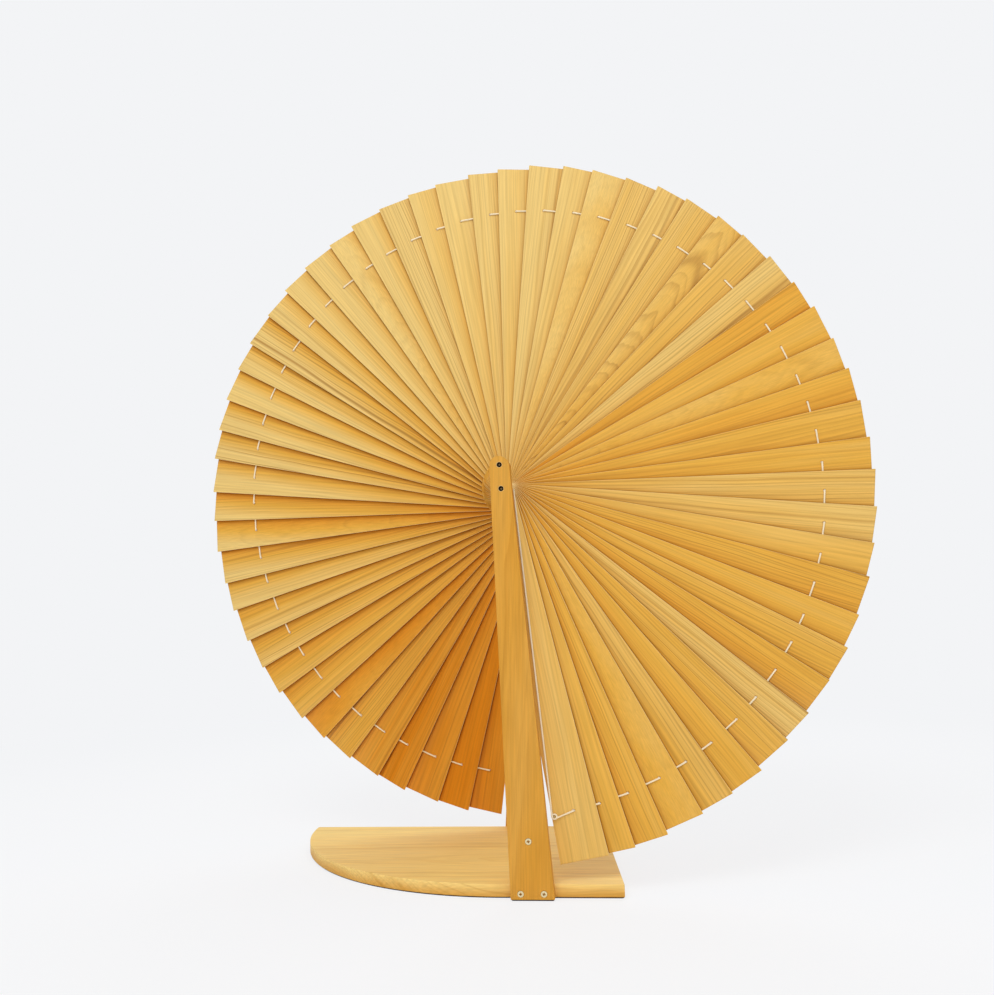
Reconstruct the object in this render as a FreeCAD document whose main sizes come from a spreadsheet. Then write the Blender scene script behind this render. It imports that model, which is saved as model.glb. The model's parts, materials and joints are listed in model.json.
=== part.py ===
"""Fan-shaped folding screen: tapered slats laced on one cord, turning on an axle between two posts.

The frame has +X to the right, +Y to the back and +Z up. The origin is on the floor, straight under the
middle of the axle, which runs along Y. Angles of slats are counter-clockwise from +X, seen from the front.
"""
import FreeCAD, Part
import math
import os
import re
import Sketcher

# Driving dimensions, in millimetres and degrees. Each becomes a cell of the sheet with this alias.
SIZES = {
    # slats
    "slat_count": 61,
    "slat_reach": 658.0,
    "slat_tail": 50.0,
    "slat_root_width": 36.0,
    "slat_end_width": 75.0,
    "slat_hub_thickness": 6.4,
    "slat_rim_thickness": 3.0,
    "slat_end_slant": 3.2,
    "slat_start_angle": -80.5,
    "slat_turn": 5.62,
    "slat_unevenness": 0.25,
    "slat_spread": 3.6,
    "slat_spacing": 7.1,
    # the front slat, which is wider and cut square
    "front_slat_end_width": 86.0,
    "front_slat_angle": -79.3,
    # lacing cord
    "cord_thickness": 3.4,
    "cord_hole": 4.4,
    "cord_ring_inset": 88.0,
    "cord_clearance": 0.3,
    "peg_diameter": 4.0,
    "peg_length": 9.0,
    "peg_depth": 3.0,
    "peg_inset": 5.0,
    "peg_beyond_ring": 3.5,
    "peg_cord_gap": 2.6,
    # axle
    "axle_diameter": 20.0,
    "slat_base_gap": 20.9,
    "running_clearance": 0.1,
    # base board
    "base_thickness": 24.0,
    "base_right": 189.0,
    "base_round_centre": -20.0,
    "base_end_rake": 6.5,
    # posts
    "post_thickness": 18.0,
    "post_foot_width": 76.0,
    "post_top_width": 35.0,
    "post_shoulder": 40.0,
    "post_splay": 33.0,
    # cheeks, the spacers beside the stack
    "cheek_thickness": 11.6,
    "cheek_clearance": 0.4,
    "cheek_width": 34.0,
    "cheek_rise": 38.0,
    "cheek_drop": 14.0,
    # corner blocks
    "block_width": 40.0,
    "block_depth": 60.0,
    "block_height": 90.0,
    "block_top_depth": 24.0,
    "block_toe": 18.0,
    # screws
    "screw_shank": 5.0,
    "screw_head": 11.0,
    "screw_head_depth": 3.2,
    "screw_length": 42.0,
    "cheek_screw_length": 24.0,
    "hub_screw_head": 9.0,
    "hub_screw_sink": 2.5,
    "cheek_screw_rise": 42.0,
    "post_screw_spacing": 40.0,
    "block_screw_height": 100.0,
    # how far a cutting shape runs past the wood that it cuts
    "cut_margin": 5.0,
}
# What repeats many times has few faces: the numbers of sides that stand for round there.
BORE_SIDES = 12
CORD_HOLE_SIDES = 6
TAIL_SIDES = 5
SCREW_SIDES = 10
CORD_SIDES = 6
# Degrees from one slat's small error of angle to the next one's, so that neighbours are spread unevenly.
UNEVEN_STEP = 137.5
# The wider steps come late: the power of a slat's share of the fan that spreads it.
SPREAD_POWER = 9

doc = FreeCAD.newDocument("FoldingFanScreen")
sheet = doc.addObject("Spreadsheet::Sheet", "Sizes")
for row, (alias, number) in enumerate(SIZES.items(), start=1):
    sheet.set("A%d" % row, alias)
    sheet.set("B%d" % row, str(number))
    sheet.setAlias("B%d" % row, alias)
doc.recompute()

# Sizes and places that several pieces share, each worked out from the sizes above.
SHARED = {
    "front_slat_flare": "(front_slat_end_width - slat_root_width) / 2 / slat_reach",
    "slat_fall": "(slat_hub_thickness - slat_rim_thickness) / 2 / (slat_reach + slat_tail)",
    "slat_end_rise": "slat_end_width / 2 * tan(slat_end_slant * 1 deg)",
    "slat_corner_radius": "sqrt((slat_reach + slat_end_rise) ^ 2 + (slat_end_width / 2) ^ 2)",
    "axle_height": "base_thickness + slat_base_gap + slat_corner_radius",
    "stack_depth": "(slat_count - 1) * slat_spacing + slat_hub_thickness",
    "base_depth": "stack_depth + 2 * (cheek_thickness + cheek_clearance)",
    "front_face": "-base_depth / 2",
    "back_face": "base_depth / 2",
    "first_slat_y": "-(slat_count - 1) * slat_spacing / 2",
    "cord_ring_radius": "slat_reach - cord_ring_inset",
    "slat_half_at_ring": "slat_hub_thickness / 2 - slat_fall * (cord_ring_radius + slat_tail)",
    "peg_along": "cord_ring_radius + peg_beyond_ring",
    "peg_side": "peg_inset - slat_root_width / 2 - front_slat_flare * cord_ring_radius",
    "bore": "axle_diameter + 2 * running_clearance",
}


def formula(text):
    """Return an expression with shared formulas written out and each size as a cell of the sheet."""
    def spell(match):
        word = match.group()
        if word in SHARED:
            return "(%s)" % formula(SHARED[word])
        return "Sizes." + word if word in SIZES else word
    return re.sub(r"[a-z_]+", spell, text)


def bind(item, prop, text):
    """Bind one property of an object to a formula of the sizes."""
    item.setExpression(prop, formula(text))


def number(text):
    """Return a formula's present value."""
    result = sheet.evalExpression(formula(text))
    return float(getattr(result, "Value", result))


def new(kind, name):
    """Add an object to the document and give it its name as a label."""
    item = doc.addObject(kind, name)
    item.Label = name
    return item


def place(item, x="0", y="0", z="0"):
    """Bind an object's position to three formulas."""
    for axis, text in zip("xyz", (x, y, z)):
        bind(item, "Placement.Base." + axis, text)


def sketch_on(body, plane, name):
    """Return a new sketch of a body, on one of the body's own origin planes."""
    sketch = body.newObject("Sketcher::SketchObject", name)
    support = [item for item in body.Origin.OriginFeatures if item.Role == plane][0]
    sketch.AttachmentSupport = [(support, "")]
    sketch.MapMode = "FlatFace"
    return sketch


def hold(sketch, geometry, point, x, y):
    """Hold a point of a sketch at a place given by two formulas."""
    for kind, text in (("DistanceX", x), ("DistanceY", y)):
        if text is None:
            continue
        index = sketch.addConstraint(Sketcher.Constraint(kind, -1, 1, geometry, point, number(text)))
        sketch.setExpression("Constraints[%d]" % index, formula(text))


def draw_outline(sketch, corners, arcs=None):
    """Draw one closed outline, counter-clockwise, through corners given as pairs of formulas.

    An arc's key is the number of the corner that it starts at, and its value is the formulas of its centre,
    of which one is None because the arc's two ends already settle it.
    """
    arcs = arcs or {}
    spots = [FreeCAD.Vector(number(x), number(y), 0) for x, y in corners]
    first = sketch.GeometryCount
    for k, start in enumerate(spots):
        end = spots[(k + 1) % len(spots)]
        if k not in arcs:
            sketch.addGeometry(Part.LineSegment(start, end))
            continue
        middle = (start + end) / 2
        centre = FreeCAD.Vector(middle)
        centre_x, centre_y = arcs[k]
        if centre_x is not None:
            centre.x = number(centre_x)
        if centre_y is not None:
            centre.y = number(centre_y)
        begin = math.atan2(start.y - centre.y, start.x - centre.x)
        finish = math.atan2(end.y - centre.y, end.x - centre.x)
        circle = Part.Circle(centre, FreeCAD.Vector(0, 0, 1), start.distanceToPoint(centre))
        sketch.addGeometry(Part.ArcOfCircle(circle, begin, finish))
    for k in range(len(spots)):
        follower = first + (k + 1) % len(spots)
        sketch.addConstraint(Sketcher.Constraint("Coincident", first + k, 2, follower, 1))
    for k, (x, y) in enumerate(corners):
        hold(sketch, first + k, 1, x, y)
    for k, (x, y) in arcs.items():
        hold(sketch, first + k, 3, x, y)


def draw_circle(sketch, x, y, diameter):
    """Draw a circle whose centre and diameter are formulas."""
    centre = FreeCAD.Vector(number(x), number(y), 0)
    index = sketch.addGeometry(Part.Circle(centre, FreeCAD.Vector(0, 0, 1), number(diameter) / 2))
    hold(sketch, index, 3, x, y)
    size = sketch.addConstraint(Sketcher.Constraint("Diameter", index, number(diameter)))
    sketch.setExpression("Constraints[%d]" % size, formula(diameter))


def draw_many_sided(sketch, x, y, across, sides):
    """Draw a regular outline of so many sides round a circle whose centre and diameter are formulas."""
    corners = []
    for k in range(sides):
        angle = 2 * math.pi * (k + 0.5) / sides
        reach = 0.5 / math.cos(math.pi / sides)
        corners.append(("%s + %s * %.6f" % (x, across, reach * math.cos(angle)),
                        "%s + %s * %.6f" % (y, across, reach * math.sin(angle))))
    draw_outline(sketch, corners)


def pad(body, sketch, length, both_sides=False):
    """Pad a sketch by a length, along its normal or equally to both sides."""
    feature = body.newObject("PartDesign::Pad", body.Name + "_pad")
    feature.Profile = sketch
    feature.SideType = "Symmetric" if both_sides else "One side"
    bind(feature, "Length", length)
    return feature


def cut_through(body, sketch, name):
    """Cut a sketch through the whole body, to both sides of its plane."""
    feature = body.newObject("PartDesign::Pocket", name)
    feature.Profile = sketch
    feature.SideType = "Symmetric"
    feature.Type = "ThroughAll"
    return feature


def group(name, items):
    """Return one named compound of several objects, whose solids stay separate."""
    item = new("Part::Compound", name)
    item.Links = items
    return item


def cut(name, blank, tools):
    """Return a blank with the shapes of its screws, pins and recesses cut out of it."""
    item = new("Part::Cut", name)
    item.Base = blank
    item.Tool = tools[0] if len(tools) == 1 else group(name + "_cutters", tools)
    return item


def turn_about_x(item, degrees):
    """Turn an object that stands along +Z so that it lies along Y."""
    item.Placement.Rotation = FreeCAD.Rotation(FreeCAD.Vector(1, 0, 0), degrees)


def make_slat_blank(name, end_width, end_rise):
    """Return one slat at the origin: pivot at the origin, length along +X, faces across Y.

    The end's upper corner lies farther out than its middle by end_rise, and the lower corner less far.
    """
    flare = "((%s - slat_root_width) / 2 / slat_reach)" % end_width
    tail_centre = "((slat_tail - slat_root_width / 2) / (1 - %s))" % flare
    tail_half = "(slat_root_width / 2 - %s * %s)" % (flare, tail_centre)
    body = new("PartDesign::Body", name)

    plan = sketch_on(body, "XZ_Plane", name + "_plan")
    half = "%s / 2" % end_width
    corners = [("slat_reach - " + end_rise, "-" + half), ("slat_reach + " + end_rise, half)]
    for k in range(TAIL_SIDES + 1):
        angle = math.pi * (0.5 + k / TAIL_SIDES)
        x = "-%s + %s * %.6f" % (tail_centre, tail_half, math.cos(angle))
        corners.append((x, "%s * %.6f" % (tail_half, math.sin(angle))))
    draw_outline(plan, corners)
    pad(body, plan, "slat_hub_thickness", both_sides=True)

    # both faces are planed down towards the rim, which leaves room for the cord between two slats
    side = sketch_on(body, "XY_Plane", name + "_planing")
    near = ("-(slat_tail + cut_margin)", "(slat_hub_thickness / 2 + slat_fall * cut_margin)")
    far = ("(slat_reach + cut_margin)", "(slat_rim_thickness / 2 - slat_fall * cut_margin)")
    outer = "(slat_hub_thickness / 2 + cut_margin)"
    draw_outline(side, [near, far, (far[0], outer), (near[0], outer)])
    below = [(near[0], "-" + near[1]), (near[0], "-" + outer), (far[0], "-" + outer), (far[0], "-" + far[1])]
    draw_outline(side, below)
    cut_through(body, side, name + "_planed_faces")

    holes = sketch_on(body, "XZ_Plane", name + "_holes")
    draw_many_sided(holes, "0", "0", "bore", BORE_SIDES)
    draw_many_sided(holes, "cord_ring_radius", "0", "cord_hole", CORD_HOLE_SIDES)
    cut_through(body, holes, name + "_bores")
    return body


def slat_angle(index):
    """Return the formula of a slat's angle: steps that are a little uneven and grow wider at the end."""
    if index == 1:
        return "(front_slat_angle)"
    steps = index - 1
    uneven = "slat_unevenness * sin(%g deg)" % (steps * UNEVEN_STEP)
    spread = "slat_spread * (%d / (slat_count - 1)) ^ %d" % (steps, SPREAD_POWER)
    return "(slat_start_angle + %d * slat_turn + %s + %s)" % (steps, uneven, spread)


def make_slat(blank, index):
    """Return a copy of the slat at its own angle and its own place along the axle."""
    copy = new("App::Link", "slat_copy_%02d" % index)
    copy.LinkedObject = blank
    copy.Placement.Rotation = FreeCAD.Rotation(FreeCAD.Vector(0, -1, 0), 45.0)
    bind(copy, "Placement.Rotation.Angle", slat_angle(index))
    place(copy, y="first_slat_y + %d * slat_spacing" % (index - 1), z="axle_height")
    return copy


def make_base_blank():
    """Return the base board: a quarter disc to the left of the posts and a raked end to the right."""
    body = new("PartDesign::Body", "base_blank")
    plan = sketch_on(body, "XY_Plane", "base_plan")
    corners = [
        ("base_round_centre", "front_face"),
        ("base_right", "front_face"),
        ("base_right - base_depth * tan(base_end_rake * 1 deg)", "back_face"),
        ("base_round_centre - base_depth", "back_face"),
    ]
    draw_outline(plan, corners, {3: ("base_round_centre", None)})
    pad(body, plan, "base_thickness")
    return body


def post_centre(splay, height):
    """Return the formula of the middle of a leaning post at a height."""
    return "(%s * (1 - %s / axle_height))" % (splay, height)


def make_post_blank(name, splay, y):
    """Return one tapered post with a round top, leaning from its foot to the axle."""
    body = new("PartDesign::Body", name)
    front = sketch_on(body, "XZ_Plane", name + "_outline")
    shoulder = "(axle_height + post_shoulder)"
    middle = post_centre(splay, shoulder)
    corners = [
        ("%s - post_foot_width / 2" % splay, "0"),
        ("%s + post_foot_width / 2" % splay, "0"),
        ("%s + post_top_width / 2" % middle, shoulder),
        ("%s - post_top_width / 2" % middle, shoulder),
    ]
    draw_outline(front, corners, {2: (None, shoulder)})
    pad(body, front, "post_thickness")
    place(body, y=y)
    return body


def make_cheek_blank(name, splay, y):
    """Return one spacer with round ends, between a post and the stack, bored for the axle."""
    body = new("PartDesign::Body", name)
    front = sketch_on(body, "XZ_Plane", name + "_outline")
    top = post_centre(splay, "(axle_height + cheek_rise)")
    half = "cheek_width / 2"
    corners = [
        ("-%s" % half, "-cheek_drop"),
        (half, "-cheek_drop"),
        ("%s + %s" % (top, half), "cheek_rise"),
        ("%s - %s" % (top, half), "cheek_rise"),
    ]
    draw_outline(front, corners, {0: (None, "-cheek_drop"), 2: (None, "cheek_rise")})
    draw_circle(front, "0", "0", "bore")
    pad(body, front, "cheek_thickness")
    place(body, y=y, z="axle_height")
    return body


def make_block_blank(name, splay, y, turned):
    """Return one corner block that stands on the base and backs a post."""
    body = new("PartDesign::Body", name)
    side = sketch_on(body, "YZ_Plane", name + "_outline")
    corners = [
        ("0", "0"),
        ("block_depth", "0"),
        ("block_depth", "block_toe"),
        ("block_top_depth", "block_height"),
        ("0", "block_height"),
    ]
    draw_outline(side, corners)
    pad(body, side, "block_width", both_sides=True)
    if turned:
        body.Placement.Rotation = FreeCAD.Rotation(FreeCAD.Vector(0, 0, 1), 180)
    place(body, post_centre(splay, "(base_thickness + block_height / 2)"), y, "base_thickness")
    return body


def make_axle_blank():
    """Return the axle, a dowel that reaches from post to post."""
    axle = new("Part::Cylinder", "axle_blank")
    bind(axle, "Radius", "axle_diameter / 2")
    bind(axle, "Height", "base_depth")
    turn_about_x(axle, -90)
    place(axle, y="front_face", z="axle_height")
    return axle


def make_rod(name, diameter, length, degrees):
    """Return a rod of few sides that lies along Y."""
    rod = new("Part::Prism", name)
    rod.Polygon = SCREW_SIDES
    bind(rod, "Circumradius", diameter + " / 2")
    bind(rod, "Height", length)
    turn_about_x(rod, degrees)
    return rod


def make_screw(name, x, z, at_front, length, width="screw_head", sink="0"):
    """Return one flat-headed screw in a post, and the recess above its head where it is sunk."""
    face = "front_face - post_thickness + " + sink
    if not at_front:
        face = "back_face + post_thickness - " + sink
    inwards = -90 if at_front else 90
    shank = make_rod(name + "_shank", "screw_shank", length, inwards)
    head = make_rod(name + "_head", width, "screw_head_depth", inwards)
    for item in (shank, head):
        place(item, x, face, z)
    screw = new("Part::Fuse", name)
    screw.Base = head
    screw.Tool = shank
    if sink == "0":
        return screw, None
    recess = make_rod(name + "_recess", width, sink, -inwards)
    place(recess, x, face, z)
    return screw, recess


def slat_point(along, side, index=1):
    """Return the X and Z formulas of a point on a slat, along it from the axle and off its middle line."""
    angle = "(%s * 1 deg)" % slat_angle(index)
    x = "(%s * cos(%s) - %s * sin(%s))" % (along, angle, side, angle)
    z = "(axle_height + %s * sin(%s) + %s * cos(%s))" % (along, angle, side, angle)
    return x, z


def make_peg():
    """Return the pin in the front slat that the cord is turned round."""
    peg = new("Part::Cylinder", "cord_peg")
    bind(peg, "Radius", "peg_diameter / 2")
    bind(peg, "Height", "peg_length")
    turn_about_x(peg, 90)
    x, z = slat_point("peg_along", "peg_side")
    place(peg, x, "first_slat_y - slat_half_at_ring + peg_depth", z)
    return peg


def cord_route():
    """Return the cord's corners: down from the cheek, round the peg, then through every slat's hole."""
    first_y = number("first_slat_y")
    spacing = number("slat_spacing")
    front = first_y - spacing / 2
    around = "(peg_diameter / 2 + cord_thickness / 2 + peg_cord_gap)"
    beside_peg = slat_point("(peg_along + %s)" % around, "(peg_side - %s)" % around)
    turn = [number(text) for text in beside_peg]
    top_x = number("cheek_width / 2 + cord_thickness / 2 + cord_clearance")
    top_y = first_y - number("slat_hub_thickness / 2 + cord_thickness / 2 + cord_clearance")
    route = [FreeCAD.Vector(top_x, top_y, number("axle_height")), FreeCAD.Vector(turn[0], front, turn[1])]
    for index in range(1, int(number("slat_count")) + 1):
        x, z = [number(text) for text in slat_point("cord_ring_radius", "0", index)]
        for step in (index - 1.5, index - 0.5):
            route.append(FreeCAD.Vector(x, first_y + step * spacing, z))
    return route


def make_cord(sides=CORD_SIDES):
    """Return the cord as one solid: a many-sided section, mitred at each corner of its route."""
    route = cord_route()
    runs = [(route[k + 1] - route[k]).normalize() for k in range(len(route) - 1)]
    across = runs[0].cross(FreeCAD.Vector(0, 1, 0)).normalize()
    up = runs[0].cross(across).normalize()
    radius = number("cord_thickness / 2")
    ring = []
    for k in range(sides):
        angle = 2 * math.pi * k / sides
        ring.append(route[0] + across * (radius * math.cos(angle)) + up * (radius * math.sin(angle)))
    rings = [ring]
    for k, run in enumerate(runs):
        mitre = run + runs[k + 1] if k + 1 < len(runs) else run
        end = route[k + 1]
        ring = [spot + run * ((end - spot).dot(mitre) / run.dot(mitre)) for spot in ring]
        rings.append(ring)
    faces = [Part.Face(Part.makePolygon(ring + ring[:1])) for ring in (rings[0], rings[-1])]
    for near, far in zip(rings, rings[1:]):
        for k in range(sides):
            after = (k + 1) % sides
            faces.append(Part.Face(Part.makePolygon([near[k], near[after], far[after], far[k], near[k]])))
    shell = Part.Shell(faces)
    shell.sewShape()
    solid = Part.Solid(shell)
    if solid.Volume < 0:
        solid.reverse()
    length = sum((b - a).Length for a, b in zip(route, route[1:]))
    section = sides / 2 * radius ** 2 * math.sin(2 * math.pi / sides)
    fullness = solid.Volume / section / length
    print("lacing cord: length %.0f mm, volume over section times length %.4f" % (length, fullness))
    cord = new("Part::Feature", "lacing_cord")
    cord.Shape = solid
    return cord


def build():
    """Build every piece and return the objects whose shapes are the part's nodes."""
    front_splay = "post_splay"
    rear_splay = "(-post_splay)"
    upper = "(axle_height + cheek_screw_rise)"
    ends = (("front", front_splay, True), ("rear", rear_splay, False))
    screws = {"axle": [], "cheek": [], "post": [], "block": []}
    nodes = []

    base_tools = []
    axle_tools = []
    for end, splay, at_front in ends:
        axle_screw, axle_recess = make_screw(
            end + "_axle_screw", "0", "axle_height", at_front, "screw_length",
            "hub_screw_head", "hub_screw_sink")
        cheek_screw, cheek_recess = make_screw(
            end + "_cheek_screw", post_centre(splay, upper), upper, at_front,
            "cheek_screw_length", "hub_screw_head", "hub_screw_sink")
        block_screw, _ = make_screw(
            end + "_block_screw", post_centre(splay, "block_screw_height"), "block_screw_height",
            at_front, "screw_length")
        foot_screws = []
        for side, sign in (("left", "-"), ("right", "+")):
            x = "%s %s post_screw_spacing / 2" % (post_centre(splay, "(base_thickness / 2)"), sign)
            name = "%s_post_screw_%s" % (end, side)
            foot_screw, _ = make_screw(name, x, "base_thickness / 2", at_front, "screw_length")
            foot_screws.append(foot_screw)
        screws["axle"].append(axle_screw)
        screws["cheek"].append(cheek_screw)
        screws["block"].append(block_screw)
        screws["post"] += foot_screws
        base_tools += foot_screws
        axle_tools.append(axle_screw)

        post_y = "front_face" if at_front else "back_face + post_thickness"
        cheek_y = "front_face + cheek_thickness" if at_front else "back_face"
        block_y = "front_face" if at_front else "back_face"
        post = make_post_blank(end + "_post_blank", splay, post_y)
        cheek = make_cheek_blank(end + "_cheek_blank", splay, cheek_y)
        block = make_block_blank(end + "_block_blank", splay, block_y, not at_front)
        post_tools = [axle_screw, axle_recess, cheek_screw, cheek_recess, block_screw] + foot_screws
        nodes.append(cut(end + "_post", post, post_tools))
        nodes.append(cut(end + "_cheek", cheek, [cheek_screw]))
        nodes.append(cut(end + "_block", block, [block_screw]))

    nodes.append(cut("base_board", make_base_blank(), base_tools))
    nodes.append(cut("axle", make_axle_blank(), axle_tools))
    for kind, items in screws.items():
        nodes.append(group(kind + "_screws", items))

    front_slat = make_slat_blank("front_slat_blank", "front_slat_end_width", "0")
    slat = make_slat_blank("slat_blank", "slat_end_width", "slat_end_rise")
    peg = make_peg()
    nodes.append(peg)
    nodes.append(cut("slat_01", make_slat(front_slat, 1), [peg]))
    # the rest of the slats are joined two and two, because they are more than the nodes that a part may have
    for pair, index in enumerate(range(2, int(number("slat_count")) + 1, 2), start=1):
        nodes.append(group("slat_pair_%02d" % pair, [make_slat(slat, index), make_slat(slat, index + 1)]))
    nodes.append(make_cord())
    return nodes


def check(nodes):
    """Stop if any object of the document failed, or a node's shape is empty or not valid."""
    failed = [item.Name for item in doc.Objects if {"Invalid", "Error"} & set(item.State)]
    if failed:
        raise RuntimeError("failed objects: " + ", ".join(failed))
    for node in nodes:
        if node.Shape.isNull() or not node.Shape.isValid() or not node.Shape.Solids:
            raise RuntimeError("bad shape: " + node.Label)


nodes = build()
doc.recompute()
check(nodes)
os.makedirs("parts", exist_ok=True)
for node in nodes:
    node.Shape.exportStep("parts/%s.step" % node.Label)
print("%d nodes written" % len(nodes))
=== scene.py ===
"""Looks of a fan-shaped folding screen: lacquered pine slats laced on one cord, on a pine stand.

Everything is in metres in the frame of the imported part: +X to the right, +Y to the back, +Z up, with the
origin on the floor under the middle of the axle. Slats are numbered from the front one, number 1.
"""

from __future__ import annotations

import json
import logging
import math
import random
from collections.abc import Callable, Iterable, Iterator, Sequence
from contextlib import contextmanager
from dataclasses import dataclass
from enum import Enum
from functools import partial

import bmesh
import bpy
import numpy as np
from mathutils import Matrix, Vector

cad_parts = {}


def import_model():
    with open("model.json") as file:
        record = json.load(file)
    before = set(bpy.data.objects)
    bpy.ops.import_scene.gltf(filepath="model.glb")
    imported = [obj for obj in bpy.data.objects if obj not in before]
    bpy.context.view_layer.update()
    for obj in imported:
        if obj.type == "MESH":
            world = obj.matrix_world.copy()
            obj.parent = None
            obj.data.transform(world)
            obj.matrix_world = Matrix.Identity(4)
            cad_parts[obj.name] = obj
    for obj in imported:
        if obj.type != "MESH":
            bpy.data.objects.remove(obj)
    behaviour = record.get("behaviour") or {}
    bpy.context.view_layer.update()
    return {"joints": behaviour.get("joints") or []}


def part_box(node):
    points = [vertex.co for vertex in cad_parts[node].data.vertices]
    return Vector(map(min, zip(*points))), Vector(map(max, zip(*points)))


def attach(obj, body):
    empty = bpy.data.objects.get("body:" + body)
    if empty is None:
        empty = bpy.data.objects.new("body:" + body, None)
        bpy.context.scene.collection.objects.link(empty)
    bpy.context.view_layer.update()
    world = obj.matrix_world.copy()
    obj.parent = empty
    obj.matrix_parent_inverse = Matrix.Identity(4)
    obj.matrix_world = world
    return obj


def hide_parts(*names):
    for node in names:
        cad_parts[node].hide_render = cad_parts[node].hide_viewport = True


LOG = logging.getLogger("folding_fan_screen")
MM = 0.001
NEAR = 0.1 * MM
IMAGE_SIZE = (994, 995)
GRAIN, TONE, FIGURE = "grain", "tone", "figure"
# of these, the first measures how far a place is clear of an overlapping board, for painted shade beside it;
# the second holds rubbed edges that also stand for a painted highlight; the third holds a painted contact
# shadow along the lowest edges
OPEN, WEAR_AND_HIGHLIGHT, CONTACT_SHADE = "open", "worn", "stain"
STAND_BODY = "stand"
MIX_A, MIX_B, MIX_COLOUR = 6, 7, 2
Colour = tuple[float, float, float, float]
Range = tuple[float, float]
Inputs = dict[str | int, object]
Measure = Callable[[np.ndarray], np.ndarray]
Test = Callable[[Vector], bool]
Piece = bpy.types.Object
Finish = bpy.types.Material
Socket = bpy.types.NodeSocket


class Element(Enum):
    """Kinds of mesh element that are picked in edit mode."""

    VERTEX = "VERT"
    EDGE = "EDGE"
    FACE = "FACE"


class Lie(Enum):
    """How a board lies: which of X, Y and Z runs along, across and through it."""

    SLAT = (0, 2, 1)
    FLAT = (0, 1, 2)
    UPRIGHT = (2, 0, 1)
    INWARDS = (1, 0, 2)


class End(Enum):
    """The two ends of the stand, as the sign of their Y."""

    FRONT = -1
    REAR = 1

    @property
    def word(self) -> str:
        """The end's name, as the frame's nodes spell it."""
        return self.name.lower()

    def outer(self, low: Vector, high: Vector) -> float:
        """Y of the face of a box that is turned outwards at this end."""
        return low.y if self is End.FRONT else high.y


def linear(hex_colour: str) -> Colour:
    """Turn an sRGB hex colour into linear values.

    Args:
        hex_colour: six hex digits after a hash sign.

    Returns:
        Red, green, blue and an alpha of one.
    """
    channels = [int(hex_colour[k : k + 2], 16) / 255 for k in (1, 3, 5)]
    red, green, blue = (c / 12.92 if c <= 0.04045 else ((c + 0.055) / 1.055) ** 2.4 for c in channels)
    return red, green, blue, 1.0


class Nodes:
    """The nodes of a material or of the world, with short ways to add those that recur."""

    def __init__(self, tree: bpy.types.NodeTree) -> None:
        """Start with an empty tree."""
        self.tree = tree
        tree.nodes.clear()

    def add(self, kind: str, inputs: Inputs | None = None, **settings: object) -> bpy.types.Node:
        """Add one node, set its properties and fill its sockets.

        Args:
            kind: the node's type name, after its prefix.
            inputs: values of its sockets; another node's output is linked.
            settings: properties of the node.

        Returns:
            The new node.
        """
        node = self.tree.nodes.new(f"ShaderNode{kind}")
        for name, value in settings.items():
            setattr(node, name, value)
        for key, value in (inputs or {}).items():
            if isinstance(value, Socket):
                self.tree.links.new(value, node.inputs[key])
            else:
                node.inputs[key].default_value = value
        return node

    def attribute(self, name: str, output: str = "Fac") -> Socket:
        """Read an attribute of the mesh."""
        return self.add("Attribute", attribute_name=name).outputs[output]

    def own_place(self) -> Socket:
        """Read a place on the piece, in metres."""
        return self.add("TexCoord").outputs["Object"]

    def maths(self, operation: str, *values: Socket | float, clamp: bool = False) -> Socket:
        """Work out one value from others."""
        inputs = dict(enumerate(values))
        return self.add("Math", inputs, operation=operation, use_clamp=clamp).outputs[0]

    def length(self, vector: Socket) -> Socket:
        """Measure a vector."""
        return self.add("VectorMath", {0: vector}, operation="LENGTH").outputs["Value"]

    def noise(self, place: Socket, scale: float, detail: float) -> Socket:
        """Add noise in space, with octaves of finer detail."""
        return self.add("TexNoise", {"Vector": place, "Scale": scale, "Detail": detail}).outputs[0]

    def noise_along(self, value: Socket, scale: float, detail: float) -> Socket:
        """Add noise that changes with one value."""
        inputs = {"W": value, "Scale": scale, "Detail": detail}
        return self.add("TexNoise", inputs, noise_dimensions="1D").outputs[0]

    def spread(self, value: Socket, source: Range, target: Range = (0.0, 1.0), **settings: object) -> Socket:
        """Spread one range of a value over another.

        Args:
            value: the value.
            source: the range that it comes from.
            target: the range that it is spread over.
            settings: properties of the node.

        Returns:
            The new value, held within the target.
        """
        inputs = {"Value": value, "From Min": source[0], "From Max": source[1]}
        inputs |= {"To Min": target[0], "To Max": target[1]}
        return self.add("MapRange", inputs, **settings).outputs[0]

    def mix(
        self, share: Socket | float, first: Socket | Colour, second: Socket | Colour, blend: str = "MIX"
    ) -> Socket:
        """Mix the second colour into the first."""
        inputs = {0: share, MIX_A: first, MIX_B: second}
        return self.add("Mix", inputs, data_type="RGBA", blend_type=blend).outputs[MIX_COLOUR]

    def ramp(self, value: Socket, stops: Iterable[tuple[float, Colour]]) -> Socket:
        """Look up a colour on a ramp.

        Args:
            value: the position on the ramp.
            stops: the ramp's positions and colours.

        Returns:
            The colour.
        """
        node = self.add("ValToRGB", {0: value})
        elements = node.color_ramp.elements
        for k, (position, colour) in enumerate(stops):
            stop = elements[k] if k < len(elements) else elements.new(position)
            stop.position = position
            stop.color = colour
        return node.outputs[0]

    def bump(self, height: Socket, strength: float, distance: float) -> Socket:
        """Add fine relief and return the normal that shows it."""
        return self.add("Bump", {"Height": height, "Strength": strength, "Distance": distance}).outputs[0]

    def surface(self, inputs: Inputs) -> None:
        """End a material with the usual shader, given the values of its sockets."""
        shader = self.add("BsdfPrincipled", inputs)
        self.add("OutputMaterial", {"Surface": shader.outputs[0]})


def new_material(name: str) -> tuple[Finish, Nodes]:
    """Make a material that has no nodes yet.

    Args:
        name: the material's name.

    Returns:
        The material and its nodes.
    """
    material = bpy.data.materials.new(name)
    material.use_nodes = True
    return material, Nodes(material.node_tree)


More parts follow.
